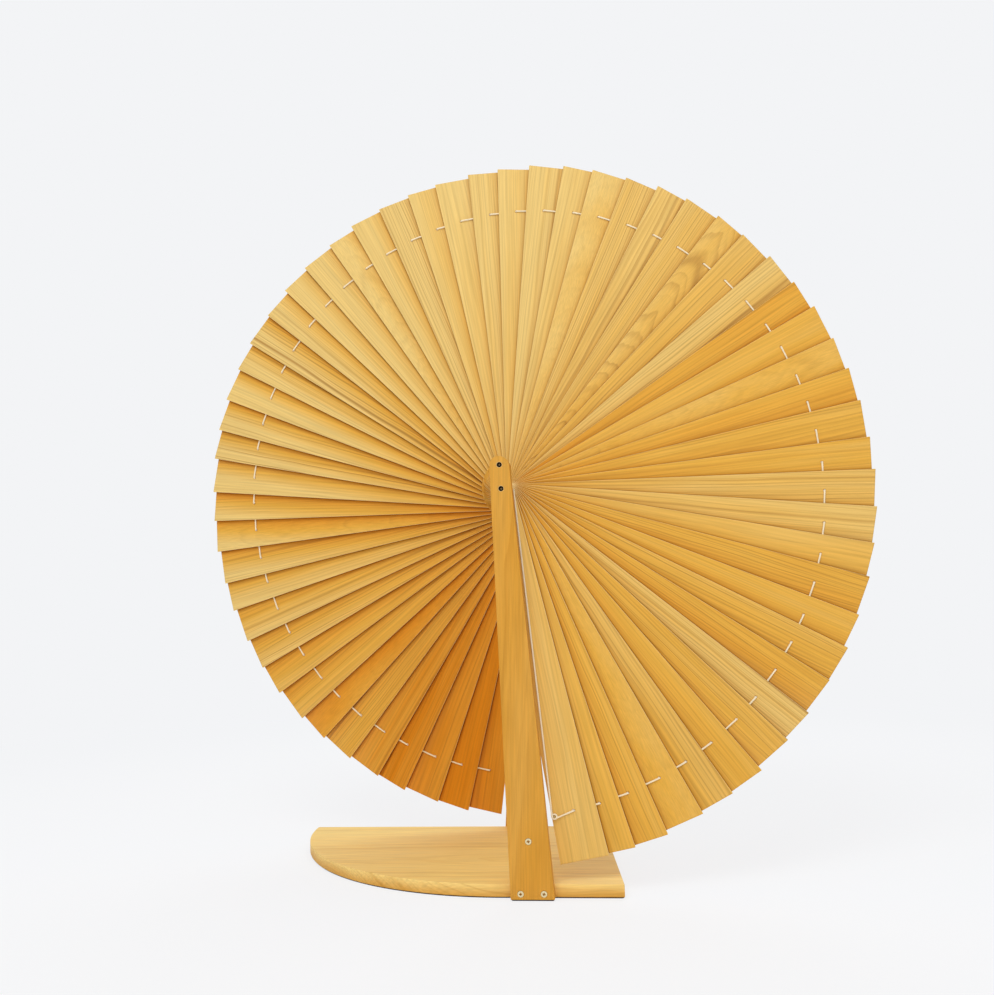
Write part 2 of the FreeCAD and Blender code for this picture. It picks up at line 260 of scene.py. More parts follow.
def add_object(name: str, data: bpy.types.ID) -> Piece:
    """Add an object that holds a curve, a light or a camera.

    Args:
        name: the object's name.
        data: what it holds.

    Returns:
        The object.
    """
    obj = bpy.data.objects.new(name, data)
    bpy.context.collection.objects.link(obj)
    return obj


def select_only(obj: Piece) -> None:
    """Select one object, make it active and leave the rest alone.

    Args:
        obj: the object.
    """
    bpy.ops.object.select_all(action="DESELECT")
    obj.select_set(True)
    bpy.context.view_layer.objects.active = obj


def settle(obj: Piece, name: str) -> Piece:
    """Name an object and put its place, turn and scale into its mesh.

    Args:
        obj: the object.
        name: its new name.

    Returns:
        The same object.
    """
    obj.name = name
    obj.data.name = name
    select_only(obj)
    bpy.ops.object.transform_apply(location=True, rotation=True, scale=True)
    return obj


def add_box(name: str, low: Sequence[float], high: Sequence[float]) -> Piece:
    """Add a box between two corners.

    Args:
        name: the box's name.
        low: its lowest corner.
        high: its highest corner.

    Returns:
        The box.
    """
    low, high = Vector(low), Vector(high)
    bpy.ops.mesh.primitive_cube_add(size=1, location=(low + high) / 2, scale=high - low)
    return settle(bpy.context.object, name)


def add_rod(name: str, radius: float, start: Sequence[float], length: float, sides: int) -> Piece:
    """Add a round rod that lies along +Y.

    Args:
        name: the rod's name.
        radius: its radius.
        start: the middle of its front end.
        length: how far it reaches back.
        sides: the sides that stand for round.

    Returns:
        The rod.
    """
    middle = Vector(start) + Vector((0, length / 2, 0))
    bpy.ops.mesh.primitive_cylinder_add(
        vertices=sides, radius=radius, depth=length, location=middle, rotation=(math.pi / 2, 0, 0)
    )
    return settle(bpy.context.object, name)


@contextmanager
def editing(obj: Piece) -> Iterator[None]:
    """Edit one object's mesh, with nothing picked at first.

    Args:
        obj: the object.

    Returns:
        A context that leaves edit mode at its end.
    """
    select_only(obj)
    bpy.ops.object.mode_set(mode="EDIT")
    bpy.ops.mesh.select_all(action="DESELECT")
    yield
    bpy.ops.object.mode_set(mode="OBJECT")


def pick(obj: Piece, element: Element, test: Test) -> None:
    """Pick the vertices, edges or faces whose middle passes a test.

    Args:
        obj: the object in edit mode.
        element: what is picked.
        test: takes a middle and says whether it is picked.
    """
    bpy.ops.mesh.select_mode(type=element.value)
    bpy.ops.mesh.select_all(action="DESELECT")
    mesh = bmesh.from_edit_mesh(obj.data)
    for item in getattr(mesh, f"{element.value.lower()}s"):
        corners = [item] if element is Element.VERTEX else item.verts
        item.select_set(test(sum((corner.co for corner in corners), Vector()) / len(corners)))
    mesh.select_flush_mode()
    bmesh.update_edit_mesh(obj.data)


def move_picked(obj: Piece, test: Test, way: Sequence[float]) -> None:
    """Move the vertices that pass a test, in edit mode."""
    pick(obj, Element.VERTEX, test)
    bpy.ops.transform.translate(value=way)


def bevel_picked(obj: Piece, test: Test, width: float, segments: int = 1) -> None:
    """Bevel the edges whose middle passes a test, in edit mode."""
    pick(obj, Element.EDGE, test)
    bpy.ops.mesh.bevel(offset=width, segments=segments, affect="EDGES")


def apply_modifier(obj: Piece, kind: str, **settings: object) -> None:
    """Add a modifier with its settings and apply it.

    Args:
        obj: the object.
        kind: the modifier's type.
        settings: its properties.
    """
    modifier = obj.modifiers.new(kind.lower(), kind)
    for name, value in settings.items():
        setattr(modifier, name, value)
    select_only(obj)
    bpy.ops.object.modifier_apply(modifier=modifier.name)


def carve(obj: Piece, *cutters: Piece) -> None:
    """Cut other shapes out of a piece and delete them.

    Args:
        obj: the piece.
        cutters: the shapes to cut out.
    """
    for cutter in cutters:
        apply_modifier(obj, "BOOLEAN", operation="DIFFERENCE", solver="EXACT", object=cutter)
        bpy.data.objects.remove(cutter)


def ease(obj: Piece, width: float, segments: int = 2) -> None:
    """Round a piece's sharp edges and keep its flat faces flat to the eye.

    Args:
        obj: the piece.
        width: how much is taken off an edge.
        segments: the facets of the rounding.
    """
    select_only(obj)
    bpy.ops.object.shade_smooth()
    sharp = {"limit_method": "ANGLE", "angle_limit": math.radians(35)}
    apply_modifier(obj, "BEVEL", width=width, segments=segments, harden_normals=True, **sharp)


def copy_of(obj: Piece, name: str) -> Piece:
    """Copy an object with a mesh of its own.

    Args:
        obj: the object to copy.
        name: the copy's name.

    Returns:
        The copy.
    """
    select_only(obj)
    bpy.ops.object.duplicate(linked=False)
    copy = bpy.context.object
    copy.name = name
    copy.data.name = name
    return copy


def dress(obj: Piece, material: Finish, slot: str, body: str, *nodes: str) -> None:
    """Give a piece its material, the body that carries it and the nodes that it stands for.

    Args:
        obj: the finished piece.
        material: its material.
        slot: the record's slot of that finish; not used.
        body: the body that it moves with.
        nodes: the frame's nodes that it replaces.
    """
    obj.data.materials.clear()
    obj.data.materials.append(material)
    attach(obj, body)
    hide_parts(*nodes)
    LOG.info("%s: %d faces, on %s", obj.name, len(obj.data.polygons), body)


@dataclass(frozen=True)
class Sawn:
    """How a board lay in the log that it was sawn from.

    The pith is the log's middle line. A pith far to the side gives straight lines on the face, and one close
    under the face that runs out lengthways gives pointed arches. The tone goes from faded to deep, and the
    figure is how strongly the year rings show.
    """

    along: float
    aside: float
    below: float
    run_aside: float = 0.0
    run_below: float = 0.0
    ring_scale: float = 1.0
    tone: float = 0.5
    figure: float = 0.3

    def lay(self, obj: Piece, lie: Lie, marks: dict[str, Measure] | None = None) -> None:
        """Write each vertex's place in the log, and the board's tone, figure and marks, to the mesh.

        Args:
            obj: the finished piece.
            lie: which axes run along, across and through it.
            marks: for an attribute, what measures it at places on the board. A board without them has one
                tone and one figure, lies open, and its lacquer is whole.
        """
        count = len(obj.data.vertices)
        spots = np.zeros(count * 3)
        obj.data.vertices.foreach_get("co", spots)
        board = spots.reshape(-1, 3)[:, list(lie.value)]
        log = np.empty_like(board)
        log[:, 0] = board[:, 0] + self.along
        log[:, 1] = (board[:, 1] - self.aside - self.run_aside * board[:, 0]) * self.ring_scale
        log[:, 2] = (board[:, 2] - self.below - self.run_below * board[:, 0]) * self.ring_scale
        obj.data.attributes.new(GRAIN, "FLOAT_VECTOR", "POINT").data.foreach_set("vector", log.ravel())
        plain_board = {TONE: self.tone, FIGURE: self.figure, OPEN: 1.0, WEAR_AND_HIGHLIGHT: 0.0, CONTACT_SHADE: 0.0}
        for name, plain in plain_board.items():
            measure = (marks or {}).get(name)
            values = measure(board) if measure else np.full(count, plain)
            obj.data.attributes.new(name, "FLOAT", "POINT").data.foreach_set("value", values)


@dataclass(frozen=True)
class LacqueredWood:
    """Planed wood, pine or beech, under clear satin lacquer that has yellowed.

    The eye gets golden early wood that darkens over each year ring to a thin brown line, years that show more
    or less, bands of deeper wood, fine streaks of fibre along the board, slow warm patches in the lacquer,
    painted shade beside the edge of the next board that lies over it, with unfaded lacquer under that board,
    edges rubbed pale that also stand for a painted highlight, and a painted contact shadow along the lowest
    edges. Early and late wood have three colours each: pale, usual and deep; the tone that chooses among
    them also carries painted light and shade. Sizes of patches are along the log and across it. Real rings
    are 1 to 3 mm wide and fibres finer still: both are drawn wider, so that the picture can show them.
    """

    name: str
    slot: str
    early: tuple[str, str, str]
    late: tuple[str, str, str]
    ring_width: float
    # pale of rubbed edges, which also stands for a painted highlight along them
    worn: str = "#F8DEA0"
    # painted contact shadow along the lowest edges, next to the floor
    stain: str = "#2C1A08"
    fibre_size: Range = (140 * MM, 3 * MM)
    fibre_range: Range = (0.3, 0.7)
    streaks: Range = (0.9, 1.07)
    roughness: Range = (0.46, 0.58)
    patch_size: Range = (320 * MM, 70 * MM)
    wander_size: Range = (280 * MM, 60 * MM)
    wander: float = 14 * MM
    band_rate: float = 0.22
    band_depth: float = 0.6
    season_rate: float = 0.45
    season_shift: float = 1.6
    year_rate: float = 0.8
    year_range: Range = (0.35, 0.68)
    year_show: Range = (0.2, 1.0)
    ring_relief: float = 0.5
    ring_levels: tuple[Range, ...] = ((0.0, 0.0), (0.4, 0.1), (0.78, 0.7), (0.92, 1.0), (1.0, 0.05))
    # painted shade beside the edge of the board that lies over this one: a dark line and a soft gradient,
    # browner where darker
    overlap_reach: float = 20 * MM
    overlap_levels: tuple[Range, ...] = (
        (0.0, 0.9),
        (0.43, 0.85),
        (0.475, 0.37),
        (0.515, 0.45),
        (0.55, 0.78),
        (0.65, 0.9),
        (0.8, 0.975),
        (1.0, 1.0),
    )

    def build(self) -> Finish:
        """Make the material.

        Returns:
            The material, which reads the attributes that a sawn board has.
        """
        material, nodes = new_material(self.name)
        place = nodes.attribute(GRAIN, "Vector")
        years = self.years(nodes, place)
        late = self.late_wood(nodes, years)
        fibre = self.patches(nodes, place, self.fibre_size)
        warm = self.patches(nodes, place, self.patch_size)
        bands = nodes.noise_along(years, self.band_rate, 1.0)
        slow = nodes.add("Mix", {0: 0.5, 2: warm, 3: bands}, data_type="FLOAT").outputs[0]
        warmth = nodes.maths("MULTIPLY_ADD", slow, self.band_depth, nodes.attribute(TONE))
        deep = nodes.maths("SUBTRACT", warmth, self.band_depth / 2, clamp=True)
        early_and_late = [
            nodes.ramp(deep, zip((0.0, 0.5, 1.0), map(linear, tones))) for tones in (self.early, self.late)
        ]
        wood = nodes.mix(late, *early_and_late)
        streak = nodes.spread(fibre, self.fibre_range, self.streaks)
        streaked = nodes.add("HueSaturation", {"Color": wood, "Value": streak}).outputs[0]
        # painted shade along the overlapping board's edge
        lined = nodes.mix(1.0, streaked, self.overlap_line(nodes), "MULTIPLY")
        # rubbed edges, pale as wear and as a painted highlight
        rubbed = nodes.mix(nodes.attribute(WEAR_AND_HIGHLIGHT), lined, linear(self.worn))
        relief = nodes.maths("MULTIPLY_ADD", late, self.ring_relief, fibre)
        nodes.surface(
            {
                # painted contact shadow along the lowest edges
                "Base Color": nodes.mix(nodes.attribute(CONTACT_SHADE), rubbed, linear(self.stain)),
                "Roughness": nodes.spread(fibre, self.fibre_range, self.roughness),
                "IOR": 1.48,
                "Specular IOR Level": 0.1,
                "Normal": nodes.bump(relief, strength=0.35, distance=0.25 * MM),
            }
        )
        return material

    def patches(self, nodes: Nodes, place: Socket, size: Range) -> Socket:
        """Add noise whose patches have a given size.

        Args:
            nodes: the material's nodes.
            place: the place in the log.
            size: a patch's size along the log and across it.

        Returns:
            The noise's value, about one half.
        """
        along, across = size
        scale = (1 / along, 1 / across, 1 / across)
        mapping = nodes.add("Mapping", {"Vector": place, "Scale": scale})
        return nodes.noise(mapping.outputs[0], 1.0, 2)

    def overlap_line(self, nodes: Nodes) -> Socket:
        """Add painted shade along the edge of the board that lies over this one, a dark line with a soft
        gradient, and the unfaded wood under it.

        Args:
            nodes: the material's nodes.

        Returns:
            The tint of the painted shade that the wood is multiplied by, browner as it is darker.
        """
        across = nodes.spread(nodes.attribute(OPEN), (-self.overlap_reach, self.overlap_reach))
        stops = [
            (position, (level**0.65, level, level ** (3 - 2 * level), 1.0))
            for position, level in self.overlap_levels
        ]
        return nodes.ramp(across, stops)

    def years(self, nodes: Nodes, place: Socket) -> Socket:
        """Count the year rings from the pith out to a place.

        Args:
            nodes: the material's nodes.
            place: the place in the log.

        Returns:
            The number of years, with a fraction.
        """
        axes = nodes.add("SeparateXYZ", {0: place}).outputs
        cross = nodes.add("CombineXYZ", {1: axes["Y"], 2: axes["Z"]}).outputs[0]
        wander = self.patches(nodes, place, self.wander_size)
        bent = nodes.maths("MULTIPLY_ADD", wander, self.wander, nodes.length(cross))
        return nodes.maths("DIVIDE", bent, self.ring_width)

    def late_wood(self, nodes: Nodes, years: Socket) -> Socket:
        """Add the year rings: how far the wood at a place is late wood.

        Args:
            nodes: the material's nodes.
            years: the count of years.

        Returns:
            Nought in early wood, up to the board's figure in the late wood of a strong year.
        """
        season = nodes.noise_along(years, self.season_rate, 1.0)
        turn = nodes.maths("FRACT", nodes.maths("MULTIPLY_ADD", season, self.season_shift, years))
        greys = [(position, (level, level, level, 1.0)) for position, level in self.ring_levels]
        ring = nodes.ramp(turn, greys)
        year = nodes.spread(nodes.noise_along(years, self.year_rate, 2.0), self.year_range, self.year_show)
        return nodes.maths("MULTIPLY", ring, nodes.maths("MULTIPLY", year, nodes.attribute(FIGURE)))


@dataclass(frozen=True)
class TumbledMetal:
    """Metal of small turned pieces: zinc plated or blackened steel, or brass.

    The eye gets a soft metal gleam with faint tumbling marks that change its roughness.
    """

    name: str
    slot: str
    colour: str
    dull_colour: str
    roughness: float
    mark_size: float = 1.2 * MM

    def build(self) -> Finish:
        """Make the material.

        Returns:
            The material.
        """
        material, nodes = new_material(self.name)
        marks = nodes.noise(nodes.own_place(), 1 / self.mark_size, 3.0)
        nodes.surface(
            {
                "Base Color": nodes.mix(marks, linear(self.colour), linear(self.dull_colour)),
                "Roughness": nodes.spread(marks, (0.0, 1.0), (self.roughness - 0.1, self.roughness + 0.12)),
                "Metallic": 1.0,
            }
        )
        return material


@dataclass(frozen=True)
class TwistedCotton:
    """Unbleached cotton cord, twisted from three strands.

    The eye gets a chalky cream that is a little darker between the fibres, with no gloss and a soft sheen.
    """

    name: str = "twisted cotton"
    slot: str = "cotton_cord"
    light: str = "#FFF3D6"
    shade: str = "#EEDAB0"
    fuzz_size: float = 0.7 * MM

    def build(self) -> Finish:
        """Make the material.

        Returns:
            The material.
        """
        material, nodes = new_material(self.name)
        fuzz = nodes.noise(nodes.own_place(), 1 / self.fuzz_size, 4.0)
        nodes.surface(
            {
                "Base Color": nodes.mix(fuzz, linear(self.shade), linear(self.light)),
                "Roughness": 0.92,
                "Sheen Weight": 0.25,
                "Sheen Roughness": 0.5,
                "Normal": nodes.bump(fuzz, strength=0.5, distance=0.15 * MM),
            }
        )
        return material


SLAT_PINE = LacqueredWood(
    name="lacquered slat pine",
    slot="slat_pine",
    early=("#E9C77A", "#E5AE47", "#DC8A1A"),
    late=("#B08040", "#A87636", "#985A0C"),
    ring_width=6.0 * MM,
)
FRAME_PINE = LacqueredWood(
    name="lacquered frame pine",
    slot="frame_pine",
    early=("#FFDD8A", "#E5B45F", "#D08C14"),
    late=("#D6A04A", "#BB802E", "#A8640E"),
    ring_width=4.6 * MM,
)
BEECH_DOWEL = LacqueredWood(
    name="turned beech dowel",
    slot="dowel",
    early=("#DDB98A", "#D6AE7C", "#CFA36C"),
    late=("#C79B66", "#C0935E", "#B98A55"),
    ring_width=3 * MM,
)
ZINC = TumbledMetal("zinc plated steel", "zinc_screw", "#F4E6BE", "#DCC894", 0.3)
BLACK_STEEL = TumbledMetal("blackened steel", "dark_screw", "#3A2A20", "#1D1511", 0.5)
BRASS = TumbledMetal("dull brass", "brass_pin", "#C8A868", "#A88A4E", 0.42)
COTTON = TwistedCotton()


@dataclass
class SlatFan:
    """The slats: a front one and another are modelled, and copies of them are fanned out along the axle."""

    axle_height: float
    count: int = 61
    reach: float = 658 * MM
    tail: float = 50 * MM
    root_width: float = 36 * MM
    end_width: float = 75 * MM
    hub_thickness: float = 6.4 * MM
    rim_thickness: float = 3 * MM
    end_slant: float = 3.2
    front_end_width: float = 86 * MM
    front_angle: float = -79.3
    bore: float = 20.2 * MM
    cord_hole: float = 4.4 * MM
    cord_ring: float = 570 * MM
    spacing: float = 7.1 * MM
    start_angle: float = -80.5
    turn: float = 5.62
    unevenness: float = 0.25
    uneven_step: float = 137.5
    spread: float = 3.6
    spread_power: int = 9
    edge_easing: float = 1.2 * MM
    # share of the edge's rounding that is drawn rubbed pale, as wear and a painted highlight
    rubbed_share: float = 0.48
    most_trimmed: float = 4 * MM
    end_zone: float = 10 * MM
    seed: int = 61
    arched: tuple[int, ...] = (4, 19, 24, 28, 37, 48, 55)
    lined: tuple[int, ...] = (5, 7, 8, 9, 10, 12, 15, 22, 23, 25, 26, 27, 35, 41, 45, 52, 56)
    pale: tuple[int, ...] = (8, 14, 22)
    bold: int = 24
    bold_figure: float = 0.6
    log_step: float = 3.0
    usual_tone: float = 0.52
    tone_scatter: float = 0.08
    # painted light: the slats at the top paler, and the listed pale slats pale of their own; painted shade:
    # the lowest slats on the left deeper
    lit_or_pale_depth: float = 0.45
    pale_share: float = 0.75
    lit_top_middle: int = 33
    lit_top_spread: float = 8.0
    shade_depth: float = 0.48
    shade_start: int = 45
    shade_run: int = 15
    shade_power: float = 1.6
    # painted shade: each slat deeper towards the neighbour that lies over it, most on the left
    even_spot: float = 14 * MM
    overlap_shade_rate: float = 2.0
    shaded_left_rate: float = 20.0
    shaded_left_middle: int = 44
    shaded_left_spread: float = 8.0

    def end_width_of(self, number: int) -> float:
        """Width of a slat's outer end; the front slat is wider than the rest."""
        return self.front_end_width if number == 1 else self.end_width

    def half_width(self, number: int, along: float | np.ndarray) -> float | np.ndarray:
        """Half of a slat's width at a distance from the axle."""
        return (self.root_width + (self.end_width_of(number) - self.root_width) * along / self.reach) / 2

    def angle(self, number: int) -> float:
        """Angle of a slat in radians: steps that are a little uneven and grow wider at the end.

        Args:
            number: the slat's number.

        Returns:
            The angle from +X towards +Z.
        """
        if number == 1:
            return math.radians(self.front_angle)
        steps = number - 1
        uneven = self.unevenness * math.sin(math.radians(steps * self.uneven_step))
        spread = self.spread * (steps / (self.count - 1)) ** self.spread_power
        return math.radians(self.start_angle + steps * self.turn + uneven + spread)

    def placing(self, number: int) -> Matrix:
        """Work out where a slat is.

        Args:
            number: the slat's number.

        Returns:
            The matrix that takes the pattern slat to its place.
        """
        depth = (number - 1 - (self.count - 1) / 2) * self.spacing
        shift = Matrix.Translation((0, depth, self.axle_height))
        return shift @ Matrix.Rotation(self.angle(number), 4, Vector((0, -1, 0)))

    def body(self, number: int) -> str:
        """Name of the body that a slat belongs to; all but the first are joined two and two."""
        return STAND_BODY if number == 1 else f"slat_pair_{number // 2:02d}"

    def model_pattern(self, number: int, slant: float) -> Piece:
        """Model one slat with its axle at the origin, its length along +X and its faces across Y.

        Args:
            number: the first slat that it is the pattern of.
            slant: degrees by which the end is off square.

        Returns:
            The slat, tapered both ways, round at its tail, bored and eased.
        """
        end_width = self.end_width_of(number)
        tail_width = 2 * self.half_width(number, -self.tail)
        end_rise = end_width / 2 * math.tan(math.radians(slant))
        half = Vector((0, self.hub_thickness / 2, tail_width / 2))
        slat = add_box("slat_pattern", Vector((-self.tail, 0, 0)) - half, Vector((self.reach, 0, 0)) + half)
        with editing(slat):
            pick(slat, Element.VERTEX, lambda spot: spot.x > 0)
            taper = (1, self.rim_thickness / self.hub_thickness, end_width / tail_width)
            bpy.ops.transform.resize(value=taper, center_override=(self.reach, 0, 0))
            for side in (-1, 1):
                move_picked(slat, lambda spot: spot.x > 0 and spot.z * side > 0, (side * end_rise, 0, 0))
            bevel_picked(
                slat,
                lambda middle: middle.x < NEAR - self.tail and abs(middle.y) < NEAR,
                tail_width / 2 - NEAR,
                8,
            )
        for width, along, sides in ((self.bore, 0, 32), (self.cord_hole, self.cord_ring, 14)):
            start = (along, -self.hub_thickness, 0)
            carve(slat, add_rod("hole", width / 2, start, 2 * self.hub_thickness, sides))
        ease(slat, self.edge_easing)
        return slat

    def sawn(self, number: int, chance: random.Random) -> Sawn:
        """Choose how a slat lay in its log, and its tone, which carries painted light and shade.

        Args:
            number: the slat's number.
            chance: the seeded source of chance.

        Returns:
            Its place in the log: most slats have faint straight lines, some have arches. Its tone is paler
            for the slats at the top as painted light, and deeper for the lowest ones on the left as painted
            shade.
        """
        along = self.log_step * number
        # painted light makes the slats at the top paler; the listed pale slats are pale of their own
        lit_or_pale = math.exp(-(((number - self.lit_top_middle) / self.lit_top_spread) ** 2))
        if number in self.pale:
            lit_or_pale = self.pale_share
        # painted shade makes the lowest slats on the left deeper
        shaded = max(0.0, (number - self.shade_start) / self.shade_run) ** self.shade_power
        tone = self.usual_tone - self.lit_or_pale_depth * lit_or_pale + self.shade_depth * shaded
        tone = min(1.0, max(0.0, tone + chance.gauss(0.0, self.tone_scatter)))
        side = chance.choice((-1, 1))
        if number in self.arched:
            return Sawn(
                along,
                aside=chance.uniform(6, 14) * MM,
                below=side * chance.uniform(30, 40) * MM,
                run_below=side * chance.uniform(0.08, 0.12),
                ring_scale=chance.uniform(1.6, 2.2),
                tone=tone,
                figure=self.bold_figure if number == self.bold else chance.uniform(0.08, 0.18),
            )
        return Sawn(
            along,
            aside=side * chance.uniform(70, 190) * MM,
            below=chance.uniform(-50, 50) * MM,
            run_aside=chance.uniform(-0.02, 0.02),
            ring_scale=chance.uniform(0.65, 1.4),
            tone=tone,
            figure=chance.uniform(0.7, 0.9) if number in self.lined else chance.uniform(0.25, 0.6),
        )

    def clear_of(self, number: int, other: int, board: np.ndarray) -> np.ndarray:
        """How far places on a slat are clear of the edge of a neighbour that lies over them.

        Args:
            number: the slat's number.
            other: the number of the slat before or behind it.
            board: places on the slat, as lengthways, across and through it.

        Returns:
            The distances, below nought where the neighbour covers the place.
        """
        turn = self.angle(number) - self.angle(other)
        side = 1 if other < number else -1
        along = board[:, 0] * math.cos(turn) - board[:, 1] * math.sin(turn)
        across = board[:, 0] * math.sin(turn) + board[:, 1] * math.cos(turn)
        return side * across - self.half_width(other, along)

    def open_at(self, number: int, board: np.ndarray) -> np.ndarray:
        """How far places on a slat's two faces are clear of its neighbours.

        Args:
            number: the slat's number.
            board: places on the slat.

        Returns:
            The distances: the slat before covers the front, and the one behind covers the back.
        """
        clear = np.ones(len(board))
        for other, face in ((number - 1, board[:, 2] < 0), (number + 1, board[:, 2] > 0)):
            if 1 <= other <= self.count:
                clear[face] = self.clear_of(number, other, board)[face]
        return clear

    def tone_at(self, number: int, tone: float, board: np.ndarray) -> np.ndarray:
        """The tone at places on a slat, with painted shade that is deepest next to the neighbour that lies
        over it and fades away from it.

        Args:
            number: the slat's number.
            tone: its tone at the even spot.
            board: places on the slat.

        Returns:
            The tones. The painted shade is strongest on the slats on the left.
        """
        # the painted shade is strongest on the slats on the left
        shaded_left = math.exp(-(((number - self.shaded_left_middle) / self.shaded_left_spread) ** 2))
        rate = self.overlap_shade_rate + self.shaded_left_rate * shaded_left
        clear = np.clip(self.open_at(number, board), -self.end_width, self.end_width)
        return tone + rate * (self.even_spot - clear)

    def wear_and_highlight_at(self, number: int, board: np.ndarray) -> np.ndarray:
        """How far places on a slat are rubbed pale, as wear and as a painted highlight: its rounded long
        edges are, and its flat faces are not.
        """
        inside = self.half_width(number, board[:, 0]) - np.abs(board[:, 1])
        return np.clip(1 - inside / (self.rubbed_share * self.edge_easing), 0, 1)

    def trim(self, slat: Piece, length: float) -> None:
        """Shorten a slat that is not yet in its place, as slats cut by hand differ."""
        with editing(slat):
            move_picked(slat, lambda spot: spot.x > self.reach - self.end_zone, (-length, 0, 0))

    def build(self, pine: Finish) -> None:
        """Model the two pattern slats and fan out their copies.

        Args:
            pine: the slats' material.
        """
        chance = random.Random(self.seed)
        front = self.model_pattern(1, 0.0)
        pattern = self.model_pattern(2, self.end_slant)
        for number in range(1, self.count + 1):
            slat = copy_of(front if number == 1 else pattern, f"fan_slat_{number:02d}")
            self.trim(slat, chance.uniform(0.0, self.most_trimmed))
            sawn = self.sawn(number, chance)
            # painted shade beside the overlapping neighbours, rubbed edges that also stand for a painted
            # highlight, and a tone with painted light and shade
            marks = {
                OPEN: partial(self.open_at, number),
                WEAR_AND_HIGHLIGHT: partial(self.wear_and_highlight_at, number),
                TONE: partial(self.tone_at, number, sawn.tone),
            }
            sawn.lay(slat, Lie.SLAT, marks)
            slat.matrix_world = self.placing(number)
            settle(slat, slat.name)
            body = self.body(number)
            dress(slat, pine, SLAT_PINE.slot, body, "slat_01" if number == 1 else body)
        for used in (front, pattern):
            bpy.data.objects.remove(used)


@dataclass(frozen=True)
class Screw:
    """A wood screw with a flat head that has a cross recess.

    The crown of the head rises in steps, each given as shares of the head's width and of the crown. The shank
    and the point narrow by shares too.
    """

    head: float = 11 * MM
    head_depth: float = 3.2 * MM
    shank: float = 5 * MM
    shank_taper: float = 0.85
    point: float = 6 * MM
    point_taper: float = 0.12
    crown: float = 0.35 * MM
    crown_steps: tuple[Range, ...] = ((0.12, 0.7), (0.14, 0.3))
    recess: float = 5.8 * MM
    recess_width: float = 1.9 * MM
    recess_depth: float = 5 * MM
    recess_taper: float = 0.5
    easing: float = 0.12 * MM

    def model(self, name: str, length: float) -> Piece:
        """Model the screw with the middle of its head's face at the origin and its point towards +Y.

        Args:
            name: the screw's name.
            length: its whole length.

        Returns:
            The screw.
        """
        screw = add_rod(name, self.head / 2, (0, 0, 0), self.head_depth, 32)
        with editing(screw):
            pick(screw, Element.FACE, lambda middle: middle.y < NEAR)
            for inset, rise in self.crown_steps:
                bpy.ops.mesh.inset(thickness=self.head * inset)
                bpy.ops.transform.translate(value=(0, -self.crown * rise, 0))
            pick(screw, Element.FACE, lambda middle: middle.y > self.head_depth - NEAR)
            narrow = self.shank / self.head
            bpy.ops.transform.resize(value=(narrow, 1, narrow), center_override=(0, self.head_depth, 0))
            shank_run = length - self.head_depth - self.point
            for run, width in ((shank_run, self.shank_taper), (self.point, self.point_taper)):
                bpy.ops.mesh.extrude_region_move(TRANSFORM_OT_translate={"value": (0, run, 0)})
                bpy.ops.transform.resize(value=(width, 1, width), center_override=(0, 0, 0))
        cutters = []
        deep = self.recess_depth
        for wide, high in ((self.recess, self.recess_width), (self.recess_width, self.recess)):
            low = (-wide / 2, -self.crown - MM, -high / 2)
            cutter = add_box("recess", low, (wide / 2, deep, high / 2))
            with editing(cutter):
                pick(cutter, Element.FACE, lambda middle: middle.y > deep - NEAR)
                taper = (self.recess_taper, 1, self.recess_taper)
                bpy.ops.transform.resize(value=taper, center_override=(0, deep, 0))
            cutters.append(cutter)
        carve(screw, *cutters)
        ease(screw, self.easing, 1)
        return screw


@dataclass(frozen=True)
class ScrewSpot:
    """A screw's node, its number there, its place on a post's outer face and how deep it is sunk."""

    node: str
    number: int
    x: float
    z: float
    sink: float = 0.0


